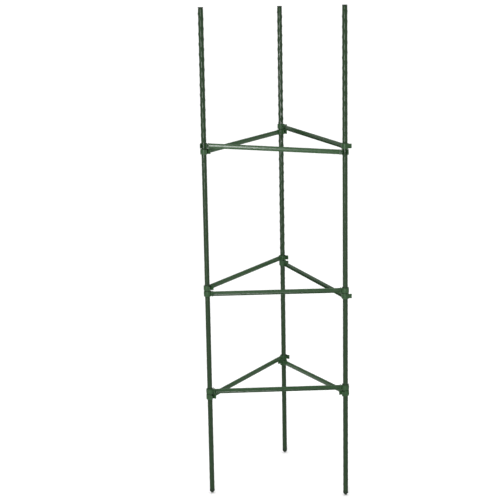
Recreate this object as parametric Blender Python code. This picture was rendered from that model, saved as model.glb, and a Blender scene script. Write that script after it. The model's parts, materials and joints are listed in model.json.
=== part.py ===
"""Garden obelisk: three coated steel stakes held in a triangle by three rings of clip-on arms.

Metres, +Z up, with the points of the stakes on the ground at z = 0. +X runs from the left stake to
the right one, and +Y from those two towards the back one. The origin is under the middle of the box
around the stakes.
"""
import math

import bmesh
import bpy
from mathutils import Vector

# Stakes: a steel tube in a plastic coating, with a cap above and a point below
STAKE_LENGTH = 1.200
STAKE_SPACING = 0.335
COATING_RADIUS = 0.0062
COATING_WALL = 0.0009
TUBE_WALL = 0.0006
CAP_THICKNESS = 0.0030
CAP_EDGE = 0.0006
CAP_PLUG_LENGTH = 0.0140
CONE_HEIGHT = 0.0055
CONE_TIP_RADIUS = 0.0012
COLLAR_HEIGHT = 0.0060
POINT_PLUG_LENGTH = 0.0160

# Clips: an open ring with two flared lips at each end of an arm
CLIP_WALL = 0.0020
CLIP_CROWN = 0.0006
CLIP_HEIGHT = 0.0124
MOUTH_HALF_ANGLE = math.radians(46)
LIP_LENGTH = 0.0094
LIP_WALL = 0.0016
LIP_HEIGHT = 0.0110
LIP_FLARE = math.radians(12)

# Bar of an arm: a channel, open on the side away from the mouths, between two stop plates
NECK_WIDTH = 0.0060
NECK_HEIGHT = 0.0097
STOP_FACE = 0.0124
STOP_THICKNESS = 0.0018
STOP_WIDTH = 0.0090
STOP_HEIGHT = 0.0130
BAR_DEPTH = 0.0062
BAR_HEIGHT = 0.0106
BAR_WALL = 0.0012
BAR_ROUND = 0.0026

# Rings: the height where each pair of clips meets, on each stake, and the gap between the two clips
RING_HEIGHTS = {
    "upper": {"left": 0.869, "right": 0.866, "back": 0.886},
    "middle": {"left": 0.522, "right": 0.517, "back": 0.538},
    "lower": {"left": 0.260, "right": 0.273, "back": 0.264},
}
PAIR_GAP = 0.0018

# Arms of each ring: which clip of the pair it has on each stake, and the side its mouths face
ARMS = {
    "upper": {
        "front": ({"left": "over", "right": "under"}, "outward"),
        "left": ({"left": "under", "back": "under"}, "inward"),
        "right": ({"right": "over", "back": "over"}, "outward"),
    },
    "middle": {
        "front": ({"left": "under", "right": "over"}, "inward"),
        "left": ({"left": "over", "back": "over"}, "inward"),
        "right": ({"right": "under", "back": "under"}, "outward"),
    },
    "lower": {
        "front": ({"left": "over", "right": "over"}, "inward"),
        "left": ({"left": "under", "back": "over"}, "inward"),
        "right": ({"right": "under", "back": "under"}, "inward"),
    },
}

# Clearance between pieces that touch or slide, and the faces round turned and curved pieces
FIT_GAP = 0.0003
STAKE_SIDES = 28
CLIP_STEPS = 18
CORNER_STEPS = 3
FLAT_ANGLE = math.radians(35)

# Worked out from the sizes above
TRIANGLE_DEPTH = STAKE_SPACING * math.sqrt(3) / 2
STAKES = {
    "left": Vector((-STAKE_SPACING / 2, -TRIANGLE_DEPTH / 2, 0)),
    "right": Vector((STAKE_SPACING / 2, -TRIANGLE_DEPTH / 2, 0)),
    "back": Vector((0, TRIANGLE_DEPTH / 2, 0)),
}
ANTICLOCKWISE = {("left", "right"), ("right", "back"), ("back", "left")}
COATING_BORE = COATING_RADIUS - COATING_WALL
TUBE_RADIUS = COATING_BORE - FIT_GAP
TUBE_BORE = TUBE_RADIUS - TUBE_WALL
PLUG_RADIUS = TUBE_BORE - FIT_GAP
SHOULDER = CONE_HEIGHT + COLLAR_HEIGHT
SLEEVE_BOTTOM = SHOULDER + FIT_GAP
SLEEVE_TOP = STAKE_LENGTH - CAP_THICKNESS - FIT_GAP
CLIP_BORE = COATING_RADIUS + FIT_GAP
CLIP_RADIUS = CLIP_BORE + CLIP_WALL
CLIP_RISE = (CLIP_HEIGHT + PAIR_GAP) / 2
BAR_START = STOP_FACE - STOP_THICKNESS / 2


def clear_scene():
    """Removes whatever the scene holds, so that the model stands alone."""
    for thing in list(bpy.data.objects):
        bpy.data.objects.remove(thing, do_unlink=True)


def finish(name, colour, roughness, metallic=0.0):
    """A Principled material of one colour."""
    material = bpy.data.materials.new(name)
    material.use_nodes = True
    shader = material.node_tree.nodes["Principled BSDF"]
    shader.inputs["Base Color"].default_value = (*colour, 1)
    shader.inputs["Roughness"].default_value = roughness
    shader.inputs["Metallic"].default_value = metallic
    return material


def placed(name, mesh, material, location, angle=0.0, parent=None):
    """Puts a mesh into the scene as a sub-part, turned about +Z and smooth but for its edges."""
    mesh.materials.clear()
    mesh.materials.append(material)
    mesh.shade_smooth()
    mesh.set_sharp_from_angle(angle=FLAT_ANGLE)
    thing = bpy.data.objects.new(name, mesh)
    thing.location = location
    thing.rotation_euler.z = angle
    thing.parent = parent
    bpy.context.scene.collection.objects.link(thing)
    return thing


def closed_mesh(name, work):
    """Turns finished bmesh work into a mesh whose faces all point out."""
    bmesh.ops.remove_doubles(work, verts=work.verts, dist=1e-7)
    bmesh.ops.recalc_face_normals(work, faces=work.faces)
    mesh = bpy.data.meshes.new(name)
    work.to_mesh(mesh)
    work.free()
    return mesh


def turned(name, profile, hollow=False):
    """Turns a profile of (radius, height) points about +Z. A hollow one is a closed outline."""
    work = bmesh.new()
    points = [work.verts.new((radius, 0, height)) for radius, height in profile]
    edges = [work.edges.new(pair) for pair in zip(points, points[1:])]
    if hollow:
        edges.append(work.edges.new((points[-1], points[0])))
    bmesh.ops.spin(
        work,
        geom=points + edges,
        cent=(0, 0, 0),
        axis=(0, 0, 1),
        angle=math.tau,
        steps=STAKE_SIDES,
        use_merge=True,
    )
    return closed_mesh(name, work)


def skin(work, sections):
    """Joins closed cross-sections of equal count into one capped solid."""
    rows = [[work.verts.new(point) for point in section] for section in sections]
    count = len(rows[0])
    for near, far in zip(rows, rows[1:]):
        for i in range(count):
            j = (i + 1) % count
            work.faces.new((near[i], near[j], far[j], far[i]))
    work.faces.new(rows[0])
    work.faces.new(list(reversed(rows[-1])))


def block(name, start, end, half_width, low, high):
    """A plain block between two places along the arm, centred across it."""
    work = bmesh.new()
    outline = [(-half_width, low), (half_width, low), (half_width, high), (-half_width, high)]
    skin(work, [[(x, y, z) for y, z in outline] for x in (start, end)])
    return closed_mesh(name, work)


def fused(name, meshes):
    """Joins overlapping solids into one body with Boolean unions."""
    base = bpy.data.objects.new(name, meshes[0])
    bpy.context.scene.collection.objects.link(base)
    tools = []
    for mesh in meshes[1:]:
        tool = bpy.data.objects.new(mesh.name, mesh)
        bpy.context.scene.collection.objects.link(tool)
        union = base.modifiers.new(mesh.name, "BOOLEAN")
        union.operation = "UNION"
        union.solver = "EXACT"
        union.object = tool
        tools.append(tool)
    graph = bpy.context.evaluated_depsgraph_get()
    result = bpy.data.meshes.new_from_object(base.evaluated_get(graph), depsgraph=graph)
    result.name = name
    for thing in [base, *tools]:
        bpy.data.objects.remove(thing, do_unlink=True)
    return result


def stake_tube(name):
    """The steel tube at the core of a stake, open at both ends."""
    profile = [
        (TUBE_RADIUS, SLEEVE_TOP),
        (TUBE_RADIUS, SLEEVE_BOTTOM),
        (TUBE_BORE, SLEEVE_BOTTOM),
        (TUBE_BORE, SLEEVE_TOP),
    ]
    return turned(name, profile, hollow=True)


def stake_coating(name):
    """The plastic skin over the tube, as wide as its grip nubs stand."""
    profile = [
        (COATING_RADIUS, SLEEVE_TOP),
        (COATING_RADIUS, SLEEVE_BOTTOM),
        (COATING_BORE, SLEEVE_BOTTOM),
        (COATING_BORE, SLEEVE_TOP),
    ]
    return turned(name, profile, hollow=True)


def stake_cap(name):
    """The flat cap on top of a stake, plugged into the tube."""
    underside = STAKE_LENGTH - CAP_THICKNESS
    profile = [
        (0, STAKE_LENGTH),
        (COATING_RADIUS - CAP_EDGE, STAKE_LENGTH),
        (COATING_RADIUS, STAKE_LENGTH - CAP_EDGE),
        (COATING_RADIUS, underside),
        (PLUG_RADIUS, underside),
        (PLUG_RADIUS, underside - CAP_PLUG_LENGTH),
        (0, underside - CAP_PLUG_LENGTH),
    ]
    return turned(name, profile)


def stake_point(name):
    """The point below a stake: a blunt cone under a collar, plugged into the tube."""
    profile = [
        (0, SHOULDER + POINT_PLUG_LENGTH),
        (PLUG_RADIUS, SHOULDER + POINT_PLUG_LENGTH),
        (PLUG_RADIUS, SHOULDER),
        (COATING_RADIUS, SHOULDER),
        (COATING_RADIUS, CONE_HEIGHT),
        (CONE_TIP_RADIUS, 0),
        (0, 0),
    ]
    return turned(name, profile)


def clip(name, centre, height):
    """An open ring round a stake with its mouth towards +Y, crowned outside, and two flared lips."""
    tip = Vector((math.sin(LIP_FLARE), math.cos(LIP_FLARE)))
    square = Vector((math.cos(LIP_FLARE), -math.sin(LIP_FLARE)))
    root = CLIP_BORE * Vector((math.sin(MOUTH_HALF_ANGLE), math.cos(MOUTH_HALF_ANGLE)))
    lip = root + LIP_LENGTH * tip
    edge = lip + LIP_WALL * square

    def section(inner, crown, outer, half):
        rings = [(inner, -half), (outer, -half), (crown, 0), (outer, half), (inner, half)]
        return [(centre + spot[0], spot[1], height + level) for spot, level in rings]

    def ring_section(angle, crowned):
        way = Vector((math.sin(angle), math.cos(angle)))
        crown = CLIP_RADIUS + CLIP_CROWN * crowned
        return section(CLIP_BORE * way, crown * way, CLIP_RADIUS * way, CLIP_HEIGHT / 2)

    span = math.tau - 2 * MOUTH_HALF_ANGLE
    angles = [MOUTH_HALF_ANGLE + span * i / CLIP_STEPS for i in range(CLIP_STEPS + 1)]
    ends = {0, CLIP_STEPS}
    ring = [ring_section(angle, i not in ends) for i, angle in enumerate(angles)]
    flip = Vector((-1, 1))
    first = section(lip, edge, edge, LIP_HEIGHT / 2)
    last = section(lip * flip, edge * flip, edge * flip, LIP_HEIGHT / 2)
    work = bmesh.new()
    skin(work, [first, *ring, last])
    return closed_mesh(name, work)


def bar_outline():
    """The channel's cross-section as (across, up) points: a rounded back and an open front."""
    back = BAR_DEPTH / 2
    front = -BAR_DEPTH / 2
    top = BAR_HEIGHT / 2
    turns = [math.pi / 2 * i / CORNER_STEPS for i in range(CORNER_STEPS + 1)]
    upper = [
        (back - BAR_ROUND + BAR_ROUND * math.cos(a), top - BAR_ROUND + BAR_ROUND * math.sin(a))
        for a in turns
    ]
    lower = [(across, -up) for across, up in reversed(upper)]
    inside = top - BAR_WALL
    wall = back - BAR_WALL
    hollow = [(front, top), (front, inside), (wall, inside), (wall, -inside), (front, -inside)]
    return [*lower, *upper, *hollow, (front, -top)]


def bar(name, span, rise):
    """The channel between the stop plates, rising evenly from one to the other."""
    work = bmesh.new()
    places = ((BAR_START, 0.0), (span - BAR_START, rise))
    skin(work, [[(x, y, z + lift) for y, z in bar_outline()] for x, lift in places])
    return closed_mesh(name, work)


def arm(name, span, rise):
    """One moulded arm along +X: a clip, a neck and a stop plate at each end of its bar."""
    ring_middle = CLIP_BORE + CLIP_WALL / 2
    pieces = [bar("bar", span, rise)]
    for label, at, way, lift in (("near", 0.0, 1, 0.0), ("far", span, -1, rise)):
        low, high = lift - NECK_HEIGHT / 2, lift + NECK_HEIGHT / 2
        neck = sorted((at + way * ring_middle, at + way * BAR_START))
        stop = sorted((at + way * (STOP_FACE - STOP_THICKNESS), at + way * STOP_FACE))
        stop_low, stop_high = lift - STOP_HEIGHT / 2, lift + STOP_HEIGHT / 2
        pieces.append(block(f"{label} stop", *stop, STOP_WIDTH / 2, stop_low, stop_high))
        pieces.append(block(f"{label} neck", *neck, NECK_WIDTH / 2, low, high))
        pieces.append(clip(f"{label} clip", at, lift))
    return fused(name, pieces)


def clip_height(ring, stake, layer):
    """The middle of the clip that lies over or under its fellow on a stake."""
    return RING_HEIGHTS[ring][stake] + (CLIP_RISE if layer == "over" else -CLIP_RISE)


def make_stake(side, steel, coating, moulded):
    """The four pieces of one stake."""
    foot = STAKES[side]
    placed(f"{side}_stake_tube", stake_tube(f"{side} tube"), steel, foot)
    placed(f"{side}_stake_coating", stake_coating(f"{side} coating"), coating, foot)
    placed(f"{side}_stake_cap", stake_cap(f"{side} cap"), moulded, foot)
    placed(f"{side}_stake_point", stake_point(f"{side} point"), moulded, foot)


def make_ring(ring, moulded):
    """The three arms of one ring, under an empty that stands for the ring."""
    frame = bpy.data.objects.new(f"{ring}_ring", None)
    frame.location.z = sum(RING_HEIGHTS[ring].values()) / len(RING_HEIGHTS[ring])
    bpy.context.scene.collection.objects.link(frame)
    for side, (layers, mouths) in ARMS[ring].items():
        near, far = layers
        if ((near, far) in ANTICLOCKWISE) != (mouths == "inward"):
            near, far = far, near
        start = STAKES[near] + Vector((0, 0, clip_height(ring, near, layers[near])))
        end = STAKES[far] + Vector((0, 0, clip_height(ring, far, layers[far])))
        along = end - start
        span = along.to_2d().length
        angle = math.atan2(along.y, along.x)
        mesh = arm(f"{ring} {side} arm", span, along.z)
        placed(f"{ring}_{side}_arm", mesh, moulded, start - frame.location, angle, frame)


def main():
    """Builds the whole obelisk."""
    clear_scene()
    steel = finish("steel tube", (0.50, 0.50, 0.49), 0.42, metallic=1.0)
    coating = finish("stake coating", (0.030, 0.055, 0.028), 0.38)
    moulded = finish("stake fittings", (0.016, 0.026, 0.016), 0.45)
    arms = finish("arm plastic", (0.040, 0.090, 0.042), 0.36)
    for side in STAKES:
        make_stake(side, steel, coating, moulded)
    for ring in ARMS:
        make_ring(ring, arms)
    bpy.context.view_layer.update()


main()
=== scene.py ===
"""Garden obelisk: the finished look of its coated stakes, their caps and points, and its clip-on arms.

Metres, +Z up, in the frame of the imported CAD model. Each piece is a grid of points: one index runs
along it and the other runs round it. Places, bores and lengths come from the CAD nodes.
"""
import json
import math

import bpy
import numpy as np
from mathutils import Euler, Matrix, Vector

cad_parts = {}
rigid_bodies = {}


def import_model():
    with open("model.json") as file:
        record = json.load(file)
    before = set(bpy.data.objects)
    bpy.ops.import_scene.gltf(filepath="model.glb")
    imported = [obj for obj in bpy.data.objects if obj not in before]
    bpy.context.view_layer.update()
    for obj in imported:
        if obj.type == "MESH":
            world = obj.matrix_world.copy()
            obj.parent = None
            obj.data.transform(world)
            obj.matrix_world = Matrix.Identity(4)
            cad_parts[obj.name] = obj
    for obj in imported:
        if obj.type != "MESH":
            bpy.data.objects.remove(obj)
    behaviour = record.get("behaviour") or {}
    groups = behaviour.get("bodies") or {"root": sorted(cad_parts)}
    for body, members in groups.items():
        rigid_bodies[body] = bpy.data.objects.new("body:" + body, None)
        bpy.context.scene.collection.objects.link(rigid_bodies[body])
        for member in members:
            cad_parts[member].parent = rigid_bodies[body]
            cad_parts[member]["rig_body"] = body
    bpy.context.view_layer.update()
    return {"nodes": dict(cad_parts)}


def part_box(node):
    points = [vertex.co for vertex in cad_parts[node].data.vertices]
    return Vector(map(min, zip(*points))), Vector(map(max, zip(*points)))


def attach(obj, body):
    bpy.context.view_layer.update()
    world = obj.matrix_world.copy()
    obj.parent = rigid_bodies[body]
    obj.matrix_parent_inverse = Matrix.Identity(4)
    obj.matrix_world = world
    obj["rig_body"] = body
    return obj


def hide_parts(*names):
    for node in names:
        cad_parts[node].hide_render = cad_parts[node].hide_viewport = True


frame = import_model()

SIDES = ("left", "right", "back")
MM = 0.001
SHARP_ANGLE = math.radians(40)
FILLET_POINTS = 5

# Coating: an extruded skin with rows of grip nubs. NUB_FADE gives, for each stake, the heights in
# metres between which the nubs grow from a least share of their rise to all of it, and that share.
COATING_RADIUS = 6.12 * MM
COATING_WALL = 0.9 * MM
CUT_ROUND = 0.25 * MM
CUT_POINTS = 4
NUB_RISE = 0.84 * MM
NUB_PITCH = 23.6 * MM
NUB_ROWS = 6
NUB_SHARPNESS = 2.0
ROW_TURN = math.radians(40)
NUB_FREE_END = (3 * MM, 12 * MM)
NUB_FADE = {"left": (0.62, 0.98, 0.30), "right": (0.62, 0.98, 0.30), "back": (0.10, 0.80, 0.35)}
STAKE_TURN = {"left": math.radians(14), "right": math.radians(74), "back": math.radians(-10)}
STAKE_ROWS = 900
STAKE_COLUMNS = 48

# Cap: a dished head with a moulding pip, on a plug. The dish's wall is in shares of its depth, inward
# from the rim and down from the top.
CAP_ROUND = 0.7 * MM
CAP_FOOT_ROUND = 0.3 * MM
CAP_RIM = 1.1 * MM
RIM_BEVEL = 0.3 * MM
CAP_DISH = 0.45 * MM
DISH_WALL = ((1.0, 1.0), (0.35, 0.75), (0.0, 0.15))
PIP_RADIUS = 0.8 * MM
PIP_RISE = 0.25 * MM
PIP_ROUND = 0.2 * MM
PIP_FOOT = 0.1 * MM
PIP_MIDDLE = 0.15 * MM
SEAT_GAP = 0.3 * MM
TUBE_ROOM = 1.2 * MM
PLUG_ROUND = 0.6 * MM
PLUG_MIDDLE = 0.3 * MM
HEAD_COLUMNS = 56

# Point: a collar over a blunt cone, on a plug
COLLAR_ROUND = 0.5 * MM
COLLAR_STEP = 0.2 * MM
CONE_HEIGHT = 5.5 * MM
BLUNT_RADIUS = 1.2 * MM
TIP_RADIUS = 1.7 * MM
TIP_START = 0.1 - math.pi / 2

# Clip: a ring with a barrel crown and a middle rib, and two lips that leave it in a bend. Its top and
# bottom edges are rubbed from one depth below the edge to another.
CLIP_GAP = 0.80 * MM
CLIP_WALL = 1.85 * MM
CLIP_HEIGHT = 12.4 * MM
CLIP_CROWN = 0.16 * MM
CLIP_RIB = 0.18 * MM
CLIP_RIB_WIDTH = 0.9 * MM
CLIP_ROUND = 0.45 * MM
RUBBED_EDGE = (1.2 * MM, 0.2 * MM)
RING_TURN = math.radians(128)
RING_BLEND = 0.5 * MM
BEND_RADIUS = 1.9 * MM
LIP_WALL = 1.6 * MM
LIP_HEIGHT = 11.0 * MM
LIP_LENGTH = 6.7 * MM
LIP_FLARE = math.radians(12)
LIP_STATIONS = np.array([0.33, 0.66])
TIP_TURN = math.radians(84)
RING_ROWS = 34
BEND_ROWS = 8
TIP_ROWS = 6
CLIP_LEVELS = 27
BORE_REACH = 1.05

# Neck: three ribs between the ring and the stop plate, measured from the stake's axis
NECK_START = 7.3 * MM
NECK_FLARE = 0.7 * MM
NECK_FLARE_END = 9.2 * MM
NECK_WIDTH = 6.0 * MM
NECK_HEIGHT = 9.8 * MM
NECK_ROUND = 0.4 * MM
NECK_RIB = 1.6 * MM
NECK_POCKET = 1.9 * MM

# Stop plate and channel
PLATE_NEAR = 10.6 * MM
PLATE_FAR = 12.4 * MM
PLATE_WIDTH = 9.0 * MM
PLATE_HEIGHT = 13.4 * MM
PLATE_ROUND = 0.9 * MM
PLATE_EDGE = 0.35 * PLATE_ROUND
PLATE_EDGE_POINTS = 4
CHANNEL_WIDTH = 6.2 * MM
CHANNEL_HEIGHT = 11.3 * MM
CHANNEL_WALL = 1.2 * MM
CHANNEL_ROUND = 2.8 * MM
CHANNEL_CROWN = 0.6 * MM
CHANNEL_END_WALL = 1.1 * MM
EDGE_ROUND = 0.28 * MM
ROOT_FILLET = 0.9 * MM
DRAFT = 0.12 * MM
HOLLOW_STEP = 0.9
CORNER_POINTS = 6
FACE_POINTS = 12
FACE_SPAN = 0.9

# Camera and stage
CAMERA_PLACE = (0.1817, -3.0058, 1.1938)
CAMERA_YAW = math.radians(-4.86)
CAMERA_DOWN = math.radians(11.24)
CAMERA_ROLL = math.radians(-1.00)
CAMERA_LENS = 87.34
SENSOR_WIDTH = 36.0
FLOOR_RINGS = np.array([0.5, 2.0, 8.0, 400.0])
FLOOR_COLUMNS = 96
KEY_PLACE = (-0.56, -3.60, 0.76)
KEY_AIM = (0.0, 0.0, 0.70)
KEY_SIZE = (0.50, 0.96)
KEY_POWER = 84.0

# Surround: a bright low wall, a dimmer room above it and a bright ceiling, by the sine of the height
WALL_LIGHT = 1.08
WALL_TOP = (0.02, 0.14)
ROOM_LIGHT = 0.30
CEILING_LIGHT = 1.5
CEILING_EDGE = (0.35, 0.95)


class Value:
    """A shader value. Python's operators on it add the Math nodes that they stand for."""

    def __init__(self, shading, socket):
        self.shading = shading
        self.socket = socket

    def _math(self, operation, first, second):
        return self.shading.node("ShaderNodeMath", {"operation": operation}, {0: first, 1: second})

    def __add__(self, other):
        return self._math("ADD", self, other)

    def __radd__(self, other):
        return self._math("ADD", other, self)

    def __sub__(self, other):
        return self._math("SUBTRACT", self, other)

    def __rsub__(self, other):
        return self._math("SUBTRACT", other, self)

    def __mul__(self, other):
        return self._math("MULTIPLY", self, other)

    def __rmul__(self, other):
        return self._math("MULTIPLY", other, self)


class Shading:
    """A tree of shader nodes; node() is the one way that they are made."""

    def __init__(self, tree):
        self.tree = tree

    def node(self, kind, settings=None, sockets=None, out=0):
        """Adds a node: its settings first, then the value of each socket or the link into it."""
        made = self.tree.nodes.new(kind)
        for name, value in (settings or {}).items():
            setattr(made, name, value)
        for name, value in (sockets or {}).items():
            self.feed(made.inputs[name], value)
        return Value(self, made.outputs[out])

    def feed(self, socket, value):
        """Links a shader value into a socket, or sets the socket to a plain one."""
        if isinstance(value, Value):
            self.tree.links.new(value.socket, socket)
        else:
            socket.default_value = value

    def place(self, stretch=(1, 1, 1)):
        """Object coordinates, stretched along each axis."""
        spot = self.node("ShaderNodeTexCoord", out=3)
        return self.node("ShaderNodeMapping", {}, {"Vector": spot, "Scale": stretch})

    def own_place(self, name, stretch=(1, 1, 1)):
        """Places that the piece's mesh carries, stretched along each axis."""
        spot = self.node("ShaderNodeAttribute", {"attribute_name": name}, out=1)
        return self.node("ShaderNodeMapping", {}, {"Vector": spot, "Scale": stretch})

    def own_number(self, name):
        """A number that the piece's mesh carries."""
        return self.node("ShaderNodeAttribute", {"attribute_name": name}, out=2)

    def noise(self, place, scale, detail, roughness=0.5):
        """Smooth noise around 0.5, with scale cells to the metre."""
        sockets = {"Vector": place, "Scale": scale, "Detail": detail, "Roughness": roughness}
        return self.node("ShaderNodeTexNoise", {}, sockets)

    def step(self, value, low, high):
        """0 below low, 1 above high and a smooth rise between."""
        settings = {"interpolation_type": "SMOOTHSTEP"}
        return self.node("ShaderNodeMapRange", settings, {0: value, 1: low, 2: high})

    def mix(self, factor, first, second):
        """Goes from the first colour to the second as the factor goes from 0 to 1."""
        sockets = {0: factor, 6: first, 7: second}
        return self.node("ShaderNodeMix", {"data_type": "RGBA"}, sockets, out=2)

    def bump(self, height, distance):
        """A normal tilted by a height field in shares of the distance."""
        return self.node("ShaderNodeBump", {}, {"Height": height, "Distance": distance})


class Finish(Shading):
    """A procedural material on the Principled shader."""

    def __init__(self, name, metallic=0.0, specular=0.5):
        self.material = bpy.data.materials.new(name)
        self.material.use_nodes = True
        super().__init__(self.material.node_tree)
        self.shader = self.tree.nodes["Principled BSDF"]
        self.shader.inputs["Metallic"].default_value = metallic
        self.shader.inputs["Specular IOR Level"].default_value = specular

    def finished(self, colour, roughness, normal):
        """Feeds the shader and returns the material."""
        self.feed(self.shader.inputs["Base Color"], colour)
        self.feed(self.shader.inputs["Roughness"], roughness)
        self.feed(self.shader.inputs["Normal"], normal)
        return self.material


def paint(red, green, blue):
    """A colour as the shader takes it, opaque."""
    return (red, green, blue, 1.0)


def coating_plastic():
    """Dark green extruded plastic: drawn lines down its length, rubbed nubs and a thin dusty bloom."""
    finish = Finish("stake coating", specular=0.16)
    drawn = finish.noise(finish.place((1, 1, 0.01)), 900, detail=3)
    cloud = finish.noise(finish.place((1, 1, 0.35)), 60, detail=5)
    grain = finish.noise(finish.place(), 2600, detail=2)
    specks = finish.noise(finish.place(), 240, detail=6, roughness=0.65)
    dust = finish.step(specks, 0.52, 0.74)
    rubbed = finish.own_number("nub") * finish.step(grain, 0.35, 0.75)
    base = finish.mix(cloud, paint(0.008, 0.022, 0.008), paint(0.014, 0.034, 0.012))
    lined = finish.mix(finish.step(drawn, 0.38, 0.7) * 0.35, base, paint(0.020, 0.043, 0.018))
    worn = finish.mix(rubbed * 0.45, lined, paint(0.044, 0.076, 0.040))
    dusty = finish.mix(dust * 0.14, worn, paint(0.11, 0.12, 0.09))
    roughness = 0.15 + 0.10 * cloud + 0.12 * dust - 0.04 * rubbed
    normal = finish.bump(drawn * 0.5 + grain * 0.35 + dust * 0.2, 0.00007)
    return finish.finished(dusty, roughness, normal)


def arm_plastic():
    """Moulded green plastic: clouded pigment, flow lines along the arm, paler edges and matt clips."""
    finish = Finish("arm plastic", specular=0.14)
    cloud = finish.noise(finish.own_place("arm_place", (0.25, 1, 1)), 110, detail=5)
    flow = finish.noise(finish.own_place("arm_place", (0.03, 1, 1)), 1100, detail=2)
    peel = finish.noise(finish.own_place("arm_place"), 1500, detail=3)
    specks = finish.noise(finish.own_place("arm_place"), 330, detail=6, roughness=0.65)
    dust = finish.step(specks, 0.54, 0.76)
    edge = finish.own_number("edge") * finish.step(peel, 0.3, 0.7)
    base = finish.mix(cloud, paint(0.015, 0.043, 0.015), paint(0.026, 0.065, 0.025))
    flowed = finish.mix(finish.step(flow, 0.4, 0.72) * 0.3, base, paint(0.034, 0.076, 0.032))
    worn = finish.mix(edge * 0.4, flowed, paint(0.056, 0.102, 0.052))
    dusty = finish.mix(dust * 0.12, worn, paint(0.12, 0.14, 0.10))
    matt = finish.own_number("matt")
    roughness = 0.12 + 0.12 * cloud + 0.10 * dust + 0.04 * edge + 0.15 * matt
    normal = finish.bump(peel * 0.45 + flow * 0.3 + dust * 0.15, 0.00006)
    return finish.finished(dusty, roughness, normal)


def end_plastic():
    """Near-black green plastic of the caps and points: matt, with turned tool marks and soil scuffs."""
    finish = Finish("end plastic", specular=0.12)
    cloud = finish.noise(finish.place(), 170, detail=5)
    marks = finish.noise(finish.place((0.2, 0.2, 1)), 2400, detail=2)
    grain = finish.noise(finish.place(), 3000, detail=3)
    scuff = finish.own_number("edge") * finish.step(grain, 0.35, 0.7)
    base = finish.mix(cloud, paint(0.009, 0.017, 0.009), paint(0.017, 0.028, 0.016))
    worn = finish.mix(scuff * 0.5, base, paint(0.060, 0.075, 0.052))
    roughness = 0.46 + 0.16 * cloud + 0.08 * marks
    normal = finish.bump(marks * 0.4 + grain * 0.4, 0.00010)
    return finish.finished(worn, roughness, normal)


def tube_steel():
    """Drawn steel of the tubes inside the coating: long bright lines and grey patches."""
    finish = Finish("tube steel", metallic=1.0)
    drawn = finish.noise(finish.place((1, 1, 0.01)), 1500, detail=3)
    patch = finish.noise(finish.place(), 90, detail=6)
    base = finish.mix(patch, paint(0.36, 0.36, 0.35), paint(0.56, 0.56, 0.55))
    lined = finish.mix(finish.step(drawn, 0.4, 0.7) * 0.4, base, paint(0.68, 0.68, 0.67))
    roughness = 0.30 + 0.22 * patch
    return finish.finished(lined, roughness, finish.bump(drawn, 0.00008))


def floor_paper():
    """Pale studio paper: a faint unevenness of tone and tooth."""
    finish = Finish("studio paper", specular=0.1)
    tone = finish.noise(finish.place(), 1.5, detail=3)
    tooth = finish.noise(finish.place(), 900, detail=2)
    sheet = finish.mix(tone, paint(0.94, 0.94, 0.94), paint(0.96, 0.96, 0.96))
    return finish.finished(sheet, 0.9 + 0.05 * tone, finish.bump(tooth, 0.00005))


def smooth_step(x, low, high):
    """3t^2 - 2t^3 of t, which goes from 0 at low to 1 at high."""
    t = np.clip((x - low) / (high - low), 0, 1)
    return t * t * (3 - 2 * t)


def rounding(depth, radius):
    """How far a rounded edge stands back: r (1 - sqrt(1 - (1 - d/r)^2)) at a depth d below the edge."""
    t = np.clip(1 - depth / radius, 0, 1)
    return radius * (1 - np.sqrt(1 - t * t))


def arc(count, first=0.0, last=math.pi / 2):
    """Angles evenly spaced along an arc, both ends included."""
    return np.linspace(first, last, count)


def once_round(count):
    """Angles evenly spaced once round."""
    return np.linspace(0, math.tau, count, endpoint=False)


def about(axis, radius, height, angle):
    """Points about an upright axis: x = r cos a and y = r sin a from it, and z = h."""
    x = axis[0] + radius * np.cos(angle)
    y = axis[1] + radius * np.sin(angle)
    return np.stack([x, y, np.broadcast_to(height, x.shape)], axis=-1)


def quads_of(index):
    """Quads between the neighbouring rows of a grid of vertices whose columns go once round."""
    beside = np.roll(index, -1, axis=1)
    return np.stack([index[:-1], beside[:-1], beside[1:], index[1:]], axis=-1).reshape(-1, 4)


def shell(points, joined=False):
    """Vertices, quads and triangles of a closed shell over a rows x columns x 3 grid of points.

    The columns go once round. The rows join up too where joined is set; otherwise a fan of triangles
    closes each end row. Every face is turned round if the volume they enclose, which is a sum of
    a . (b x c) over the corners of triangles, is negative.
    """
    rows, columns, _ = points.shape
    index = np.arange(rows * columns).reshape(rows, columns)
    vertices = points.reshape(-1, 3)
    fans = np.zeros((0, 3), int)
    if not joined:
        near, far = (np.full(columns, rows * columns + end) for end in (0, 1))
        near_fan = np.stack([np.roll(index[0], -1), index[0], near], axis=-1)
        far_fan = np.stack([index[-1], np.roll(index[-1], -1), far], axis=-1)
        fans = np.vstack([near_fan, far_fan])
        vertices = np.vstack([vertices, points[[0, -1]].mean(axis=1)])
    if joined:
        index = np.vstack([index, index[:1]])
    quads = quads_of(index)
    corners = np.vstack([quads[:, [0, 1, 2]], quads[:, [0, 2, 3]], fans])
    a, b, c = (vertices[corners[:, i]] for i in range(3))
    if np.einsum("ij,ij->", a, np.cross(b, c)) < 0:
        quads = quads[:, ::-1]
        fans = fans[:, ::-1]
    return vertices, quads, fans


def mesh_of(name, points, joined=False):
    """A mesh over a grid of points."""
    vertices, quads, fans = shell(points, joined)
    mesh = bpy.data.meshes.new(name)
    mesh.from_pydata(vertices.tolist(), [], quads.tolist() + fans.tolist())
    mesh.update()
    return mesh


def carry_number(mesh, name, grid):
    """Stores a number per face corner, taken from a rows x columns grid; the fans' middles get 0."""
    vertex = np.zeros(len(mesh.loops), np.int32)
    mesh.loops.foreach_get("vertex_index", vertex)
    values = np.zeros(len(mesh.vertices), np.float32)
    values[: grid.size] = grid.ravel()
    layer = mesh.attributes.new(name, "FLOAT", "CORNER")
    layer.data.foreach_set("value", values[vertex])


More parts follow.
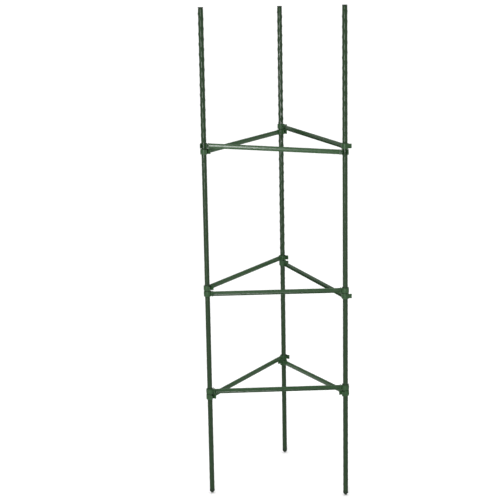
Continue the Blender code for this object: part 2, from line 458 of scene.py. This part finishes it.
def vertex_places(mesh):
    """The mesh's vertices as rows of x, y and z."""
    places = np.zeros(len(mesh.vertices) * 3, np.float32)
    mesh.vertices.foreach_get("co", places)
    return places.reshape(-1, 3)


def carry_places(mesh, name):
    """Stores each vertex's present place, before the mesh is moved to where it belongs."""
    layer = mesh.attributes.new(name, "FLOAT_VECTOR", "POINT")
    layer.data.foreach_set("vector", vertex_places(mesh).ravel())


def show(mesh, node, material):
    """Shows a mesh in place of a CAD node, on that node's body."""
    mesh.materials.clear()
    mesh.materials.append(material)
    mesh.shade_smooth()
    mesh.set_sharp_from_angle(angle=SHARP_ANGLE)
    thing = bpy.data.objects.new(f"{node}_piece", mesh)
    bpy.context.scene.collection.objects.link(thing)
    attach(thing, frame["nodes"][node]["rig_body"])
    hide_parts(node)


def stake_axis(side):
    """Where a stake's axis stands, from its CAD coating."""
    low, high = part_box(f"{side}_stake_coating")
    return np.array([(low.x + high.x) / 2, (low.y + high.y) / 2])


def nub_field(side, angle, height, low, high):
    """Nub height from 0 to 1: max(0, cos(n a) cos(2 pi h / pitch))^p, a checkerboard of nubs.

    n is half the number of rows and a is the angle round the stake less a slow turn with height. The
    field fades from 1 to the stake's own least share on the way down, and to 0 at both cut ends.
    """
    fade_from, fade_to, least = NUB_FADE[side]
    down = high - height
    a = angle - STAKE_TURN[side] - ROW_TURN * down
    wave = np.cos(NUB_ROWS / 2 * a) * np.cos(math.tau * down / NUB_PITCH)
    fade = least + (1 - least) * smooth_step(height, fade_from, fade_to)
    ends = smooth_step(np.minimum(down, height - low), *NUB_FREE_END)
    return np.maximum(0, wave) ** NUB_SHARPNESS * fade * ends


def coating(side, material):
    """The nubbed skin of a stake: up its outer wall and back down its bore.

    Outer radius = plain radius + rise x nub field - rounding of the cut ends.
    """
    node = f"{side}_stake_coating"
    low, high = (corner.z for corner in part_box(node))
    axis = stake_axis(side)
    near_end = CUT_ROUND * (1 - np.cos(arc(CUT_POINTS)))
    wall = np.linspace(low + CUT_ROUND, high - CUT_ROUND, STAKE_ROWS)
    height = np.concatenate([low + near_end[:-1], wall, high - near_end[-2::-1]])[:, None]
    angle = once_round(STAKE_COLUMNS)
    nub = nub_field(side, angle, height, low, high)
    end = rounding(np.minimum(height - low, high - height), CUT_ROUND)
    radius = COATING_RADIUS + NUB_RISE * nub - end
    bore = np.full((2, STAKE_COLUMNS), (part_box(node)[1].x - axis[0]) - COATING_WALL)
    radius = np.vstack([radius, bore])
    height = np.vstack([height, [[high], [low]]])
    mesh = mesh_of(node, about(axis, radius, height, angle), joined=True)
    carry_number(mesh, "nub", np.vstack([nub, np.zeros((2, STAKE_COLUMNS))]))
    show(mesh, node, material)


def edge_arc(radius, height, size, first, last, count=FILLET_POINTS):
    """(radius, height, edge) rows of a rounded edge; edge goes 0, 1, 0 as a half sine along it."""
    a = arc(count, first, last)
    edge = np.sin(np.linspace(0, math.pi, count))
    return np.stack([radius + size * np.cos(a), height + size * np.sin(a), edge], axis=-1)


def flat_row(radius, height):
    """One (radius, height, edge) row away from any edge."""
    return np.array([[radius, height, 0.0]])


def plug_rows(radius, near, far):
    """A plug from under a head at one height to its rounded end at another."""
    way = math.copysign(1, far - near)
    end = edge_arc(radius - PLUG_ROUND, far - way * PLUG_ROUND, PLUG_ROUND, 0, way * math.pi / 2)
    return [flat_row(radius, near), end, flat_row(PLUG_MIDDLE, far)]


def end_piece(node, side, rows, material):
    """Turns (radius, height, edge) rows about a stake's axis and shows them as its cap or point."""
    profile = np.vstack(rows)
    radius, height, edge = np.split(profile, 3, axis=1)
    mesh = mesh_of(node, about(stake_axis(side), radius, height, once_round(HEAD_COLUMNS)))
    carry_number(mesh, "edge", np.repeat(edge, HEAD_COLUMNS, axis=1))
    show(mesh, node, material)


def cap(side, material):
    """The cap of a stake: a dished head with a moulding pip, an edge rounded all round, and its plug."""
    node = f"{side}_stake_cap"
    low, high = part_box(node)
    radius = (high.x - low.x) / 2
    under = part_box(f"{side}_stake_coating")[1].z + SEAT_GAP
    floor = high.z - CAP_DISH
    rim = radius - CAP_ROUND - CAP_RIM
    pip_side = PIP_RADIUS - PIP_ROUND
    pip_top = floor + PIP_RISE
    rows = [
        flat_row(PIP_MIDDLE, pip_top),
        edge_arc(pip_side, pip_top - PIP_ROUND, PIP_ROUND, math.pi / 2, 0, count=4),
        flat_row(PIP_RADIUS + PIP_FOOT, floor),
        *[flat_row(rim - inward * CAP_DISH, high.z - down * CAP_DISH) for inward, down in DISH_WALL],
        flat_row(rim + RIM_BEVEL, high.z),
        edge_arc(radius - CAP_ROUND, high.z - CAP_ROUND, CAP_ROUND, math.pi / 2, 0, count=7),
        edge_arc(radius - CAP_FOOT_ROUND, under + CAP_FOOT_ROUND, CAP_FOOT_ROUND, 0, -math.pi / 2),
        *plug_rows(radius - COATING_WALL - TUBE_ROOM, under, low.z),
    ]
    end_piece(node, side, rows, material)


def point(side, material):
    """The point of a stake: a blunt rounded cone, a collar rounded at both edges, and its plug."""
    node = f"{side}_stake_point"
    low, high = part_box(node)
    radius = (high.x - low.x) / 2
    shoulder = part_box(f"{side}_stake_coating")[0].z - SEAT_GAP
    collar = radius - COLLAR_ROUND
    slope = math.atan2(CONE_HEIGHT, radius - BLUNT_RADIUS) - math.pi / 2
    rows = [
        edge_arc(0, low.z + TIP_RADIUS, TIP_RADIUS, TIP_START, slope, count=6),
        edge_arc(collar, low.z + CONE_HEIGHT + COLLAR_STEP, COLLAR_ROUND, slope, 0),
        edge_arc(collar, shoulder - COLLAR_ROUND, COLLAR_ROUND, 0, math.pi / 2),
        *plug_rows(radius - COATING_WALL - TUBE_ROOM, shoulder, high.z),
    ]
    end_piece(node, side, rows, material)


def clip_line(bore):
    """Half of a clip's wall, from the back of its ring to the end of a lip.

    The heading turns by 1 / radius round the ring, back by 1 / BEND_RADIUS through the bend and not
    at all along the lip. The middle line is the running sum of its steps along the heading. Returns
    the line, its outward direction, each row's share of the ring and its angle round the tip.
    """
    radius = bore + CLIP_WALL / 2
    lip_heading = math.pi / 2 - LIP_FLARE
    ring = RING_TURN * radius
    bend = (RING_TURN - lip_heading) * BEND_RADIUS
    tip = LIP_WALL / 2 * np.sin(arc(TIP_ROWS))
    s = np.concatenate([
        np.linspace(0, ring, RING_ROWS),
        ring + bend * np.linspace(0, 1, BEND_ROWS)[1:],
        ring + bend + LIP_LENGTH * LIP_STATIONS,
        ring + bend + LIP_LENGTH + tip,
    ])
    turned_back = np.clip(s - ring, 0, bend) / BEND_RADIUS
    heading = np.minimum(s, ring) / radius - turned_back
    middle = (heading[1:] + heading[:-1]) / 2
    half_turn = np.diff(heading) / 2
    chord = np.diff(s) * np.sinc(half_turn / math.pi)
    steps = np.stack([np.cos(middle), np.sin(middle)], axis=-1) * chord[:, None]
    line = np.vstack([[0, -radius], [0, -radius] + np.cumsum(steps, axis=0)])
    outward = np.stack([np.sin(heading), -np.cos(heading)], axis=-1)
    ring_share = 1 - smooth_step(s, ring - RING_BLEND, ring + bend)
    tip_angle = np.concatenate([np.zeros(len(s) - TIP_ROWS), arc(TIP_ROWS, 0, TIP_TURN)])
    return line, outward, ring_share[:, None], tip_angle[:, None]


def clip(name, bore, at, lift):
    """A clip round a stake: a wall carried along the clip's line, both halves in one run.

    At a level z the wall's outer side stands at wall / 2 + crown (1 - (z/h)^2) + rib e^(-(z/w)^2) and
    its inner side at wall / 2, each less the rounding of the top and bottom edges. The lips end in
    half a circle across the wall. The ring is matt and the lips are not.
    """
    line, outward, ring, tip = clip_line(bore)
    flip = np.array([-1, 1])
    line = np.vstack([line[:0:-1] * flip, line])
    outward = np.vstack([outward[:0:-1] * flip, outward])
    ring, tip = (np.vstack([share[:0:-1], share]) for share in (ring, tip))
    wall = (LIP_WALL + (CLIP_WALL - LIP_WALL) * ring) / 2
    height = (LIP_HEIGHT + (CLIP_HEIGHT - LIP_HEIGHT) * ring) / 2 - wall * (1 - np.cos(tip))
    wall = wall * np.cos(tip)
    level = height * np.sin(math.pi / 2 * np.linspace(-1, 1, CLIP_LEVELS))
    back = rounding(height - np.abs(level), np.minimum(CLIP_ROUND, wall))
    crown = CLIP_CROWN * (1 - (level / height) ** 2) + CLIP_RIB * np.exp(-(level / CLIP_RIB_WIDTH) ** 2)
    outer = wall - back + crown * ring
    inner = -(wall - back)
    side = np.hstack([outer, inner[:, ::-1]])
    up = np.hstack([level, level[:, ::-1]])
    plan = line[:, None, :] + outward[:, None, :] * side[:, :, None]
    points = np.concatenate([plan, up[:, :, None]], axis=-1) + [at, 0, lift]
    rub_from, rub_to = (height - depth for depth in RUBBED_EDGE)
    edge = smooth_step(np.abs(up), rub_from, rub_to) + np.sin(tip) ** 2
    mesh = mesh_of(name, points)
    carry_number(mesh, "edge", np.clip(edge, 0, 1))
    carry_number(mesh, "matt", np.broadcast_to(ring, side.shape))
    return mesh


def pocket(low, high, depth):
    """(level, depth) rows of a pocket across a face: chamfered lips, drafted walls and a flat floor."""
    lip = min(EDGE_ROUND, depth)
    return [
        (low - lip, 0),
        (low, lip),
        (low + DRAFT, depth),
        (high - DRAFT, depth),
        (high, lip),
        (high + lip, 0),
    ]


def hollow(half, depth):
    """(level, depth) rows of the channel's hollow: chamfered lips, drafted walls, a filleted floor."""
    fillet = 2 * EDGE_ROUND
    wall = half - DRAFT
    upper = [
        (wall - 3 * fillet, depth),
        (wall - fillet, depth),
        (wall - 0.3 * fillet, depth - 0.3 * fillet),
        (wall, depth - fillet),
        (half, EDGE_ROUND),
        (half + EDGE_ROUND, 0),
    ]
    return [(-level, down) for level, down in reversed(upper)] + upper


def plain(half):
    """(level, depth) rows of a face with nothing cut into it."""
    return [(level, 0) for level in np.linspace(-FACE_SPAN, FACE_SPAN, FACE_POINTS) * half]


def outline(width, height, back_round, front_round, back, front, crown=0.0):
    """One section of the arm as (across, up, edge) rows: up the back, over, down the front and under.

    back and front are the (level, depth) rows cut into those faces. The corners are arcs, and the
    back is crowned: a point stands back by crown (up / top)^2 in the share that it is across.
    """
    half, top = width / 2, height / 2
    a = arc(CORNER_POINTS)
    back = np.array(back)
    front = np.array(front)

    def corner(size, over, way):
        across = over * (half - size + size * np.cos(a))
        up = way * (top - size + size * np.sin(a))
        return np.stack([across, up, np.sin(2 * a)], axis=-1)

    rows = np.vstack([
        np.stack([half - back[:, 1], back[:, 0], np.zeros(len(back))], axis=-1),
        corner(back_round, 1, 1),
        corner(front_round, -1, 1)[::-1],
        np.stack([front[:, 1] - half, front[:, 0], np.zeros(len(front))], axis=-1)[::-1],
        corner(front_round, -1, -1),
        corner(back_round, 1, -1)[::-1],
    ])
    rows[:, 0] -= crown * (rows[:, 1] / top) ** 2 * np.clip(rows[:, 0] / half, 0, 1)
    return rows


def neck_outline(flare):
    """Three ribs on a web, wider by the flare where the neck leaves the ring."""
    top = NECK_HEIGHT / 2
    inner, outer = NECK_RIB / 2, top - NECK_RIB
    pockets = pocket(-outer, -inner, NECK_POCKET) + pocket(inner, outer, NECK_POCKET)
    return outline(NECK_WIDTH + 2 * flare, NECK_HEIGHT, NECK_ROUND, NECK_ROUND, pockets, pockets)


def plate_outline(inset):
    """The stop plate, smaller by the inset where its face rounds over."""
    width, height = PLATE_WIDTH - 2 * inset, PLATE_HEIGHT - 2 * inset
    faces = plain(height / 2 - PLATE_ROUND)
    return outline(width, height, PLATE_ROUND, PLATE_ROUND, faces, faces)


def channel_outline(depth, spread=0.0):
    """The channel hollowed to a depth, larger by the spread at its root."""
    width, height = CHANNEL_WIDTH + 2 * spread, CHANNEL_HEIGHT + 2 * spread
    inside = CHANNEL_HEIGHT / 2 - CHANNEL_WALL
    back = plain(height / 2 - CHANNEL_ROUND)
    front = hollow(inside, CHANNEL_WIDTH - CHANNEL_WALL)
    front = [(level, down * depth) for level, down in front]
    return outline(width, height, CHANNEL_ROUND, EDGE_ROUND, back, front, CHANNEL_CROWN)


def edge_steps(angles, size):
    """(along, inset) of a rounded edge: size (1 - cos a) and size (1 - sin a) at each angle."""
    return [(size * (1 - math.cos(a)), size * (1 - math.sin(a))) for a in angles]


def bar(name, span, rise):
    """Necks, stop plates and channel as one run of sections, rising evenly between the plates.

    The first half of the run is (distance from the stake's axis, section) stations, and the second
    half mirrors it.
    """
    flare_start = NECK_FLARE_END - NECK_FLARE
    angles = arc(FILLET_POINTS)
    flare = [(flare_start + d, neck_outline(inset)) for d, inset in edge_steps(angles, NECK_FLARE)]
    over = [(d, plate_outline(inset)) for d, inset in edge_steps(arc(PLATE_EDGE_POINTS), PLATE_EDGE)]
    root = [(PLATE_FAR + d, channel_outline(0, inset)) for d, inset in edge_steps(angles, ROOT_FILLET)]
    hollow_start = PLATE_FAR + CHANNEL_END_WALL
    stations = [
        (NECK_START, neck_outline(NECK_FLARE)),
        *flare,
        (PLATE_NEAR, neck_outline(0)),
        *[(PLATE_NEAR + d, section) for d, section in over],
        *[(PLATE_FAR - d, section) for d, section in reversed(over)],
        *root,
        (hollow_start, channel_outline(0)),
        (hollow_start + DRAFT, channel_outline(HOLLOW_STEP)),
        (hollow_start + 4 * DRAFT, channel_outline(1)),
    ]
    x = np.array([d for d, _ in stations])
    sections = np.array([section for _, section in stations])
    x = np.concatenate([x, span - x[::-1]])
    sections = np.concatenate([sections, sections[::-1]])
    lift = np.interp(x, [PLATE_FAR, span - PLATE_FAR], [0, rise])
    along = np.broadcast_to(x[:, None], sections.shape[:2])
    points = np.stack([along, sections[:, :, 0], sections[:, :, 1] + lift[:, None]], axis=-1)
    mesh = mesh_of(name, points)
    carry_number(mesh, "edge", sections[:, :, 2])
    carry_number(mesh, "matt", np.zeros(sections.shape[:2]))
    return mesh


def united(name, meshes):
    """Joins overlapping closed meshes into one with exact Boolean unions."""
    things = [bpy.data.objects.new(mesh.name, mesh) for mesh in meshes]
    for thing in things:
        bpy.context.scene.collection.objects.link(thing)
    for tool in things[1:]:
        union = things[0].modifiers.new(tool.name, "BOOLEAN")
        union.operation = "UNION"
        union.solver = "EXACT"
        union.object = tool
    graph = bpy.context.evaluated_depsgraph_get()
    result = bpy.data.meshes.new_from_object(things[0].evaluated_get(graph), depsgraph=graph)
    result.name = name
    for thing in things:
        bpy.data.objects.remove(thing, do_unlink=True)
    return result


def arm_frame(node, bore):
    """Where an arm lies, from its CAD node: its two clip centres and the way from one to the other.

    The corners that lie on a stake's bore give that clip's height. The arm runs from the first clip
    to the second so that its mouths, whose lips reach farthest, open to the left of that way.
    """
    corners = vertex_places(frame["nodes"][node].data)
    ends = []
    for side in SIDES:
        axis = stake_axis(side)
        levels = corners[np.hypot(*(corners[:, :2] - axis).T) < BORE_REACH * bore, 2]
        if len(levels):
            ends.append(np.array([*axis, (levels.min() + levels.max()) / 2]))
    along = (ends[1] - ends[0])[:2]
    leftwards = (corners[:, :2] - ends[0][:2]) @ [-along[1], along[0]]
    if leftwards.max() < -leftwards.min():
        ends.reverse()
    return ends


def arm(node, bore, material):
    """One moulded arm: two clips and the bar between them, united and laid where its CAD node lies."""
    start, end = arm_frame(node, bore)
    way = end - start
    span = math.hypot(way[0], way[1])
    near, far = clip("near clip", bore, 0, 0), clip("far clip", bore, span, way[2])
    mesh = united(node, [bar("bar", span, way[2]), near, far])
    carry_places(mesh, "arm_place")
    turn = Matrix.Rotation(math.atan2(way[1], way[0]), 4, "Z")
    mesh.transform(Matrix.Translation(start) @ turn)
    show(mesh, node, material)


def key_light():
    """The softbox, low and a little to the left of the camera."""
    lamp = bpy.data.lights.new("key softbox", "AREA")
    lamp.shape = "RECTANGLE"
    lamp.size, lamp.size_y = KEY_SIZE
    lamp.energy = KEY_POWER
    thing = bpy.data.objects.new("key softbox", lamp)
    thing.location = KEY_PLACE
    way = Vector(KEY_PLACE) - Vector(KEY_AIM)
    thing.rotation_euler = way.to_track_quat("Z", "Y").to_euler()
    bpy.context.scene.collection.objects.link(thing)


def floor():
    """Studio paper under the object: a flat disc in rings that widen away from it."""
    places = about((0, 0), FLOOR_RINGS[:, None], 0.0, once_round(FLOOR_COLUMNS))
    index = np.arange(places.size // 3).reshape(places.shape[:2])
    faces = [index[0].tolist()] + quads_of(index)[:, ::-1].tolist()
    mesh = bpy.data.meshes.new("studio paper")
    mesh.from_pydata(places.reshape(-1, 3).tolist(), [], faces)
    mesh.materials.append(floor_paper())
    thing = bpy.data.objects.new("studio_paper", mesh)
    bpy.context.scene.collection.objects.link(thing)


def surround():
    """The light from all round: it changes with z, the sine of the height that it comes from."""
    world = bpy.data.worlds.new("studio")
    world.use_nodes = True
    light = Shading(world.node_tree)
    up = light.node("ShaderNodeSeparateXYZ", {}, {0: light.place()}, out=2)
    band = WALL_LIGHT - (WALL_LIGHT - ROOM_LIGHT) * light.step(up, *WALL_TOP)
    ceiling = CEILING_LIGHT * light.step(up, *CEILING_EDGE)
    sky = world.node_tree.nodes["Background"]
    light.feed(sky.inputs["Color"], paint(1, 1, 1))
    light.feed(sky.inputs["Strength"], band + ceiling)
    bpy.context.scene.world = world


def camera():
    """A long lens, as high as the caps, that looks down at the middle."""
    lens = bpy.data.cameras.new("camera")
    lens.lens = CAMERA_LENS
    lens.sensor_width = SENSOR_WIDTH
    thing = bpy.data.objects.new("camera", lens)
    thing.location = CAMERA_PLACE
    aim = Euler((math.pi / 2 - CAMERA_DOWN, 0, -CAMERA_YAW)).to_matrix()
    thing.rotation_euler = (aim @ Matrix.Rotation(CAMERA_ROLL, 3, "Z")).to_euler()
    bpy.context.scene.collection.objects.link(thing)
    bpy.context.scene.camera = thing


def main():
    """Builds every piece, the floor, the lights and the camera."""
    coat, ends, arms, steel = coating_plastic(), end_plastic(), arm_plastic(), tube_steel()
    for side in SIDES:
        coating(side, coat)
        cap(side, ends)
        point(side, ends)
        tube = frame["nodes"][f"{side}_stake_tube"].data
        tube.materials.clear()
        tube.materials.append(steel)
    low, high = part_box("left_stake_coating")
    bore = (high.x - low.x) / 2 + CLIP_GAP
    for node in frame["nodes"]:
        if node.endswith("_arm"):
            arm(node, bore, arms)
    floor()
    surround()
    key_light()
    camera()
    bpy.context.scene.view_settings.view_transform = "Standard"


main()
bpy.context.view_layer.update()
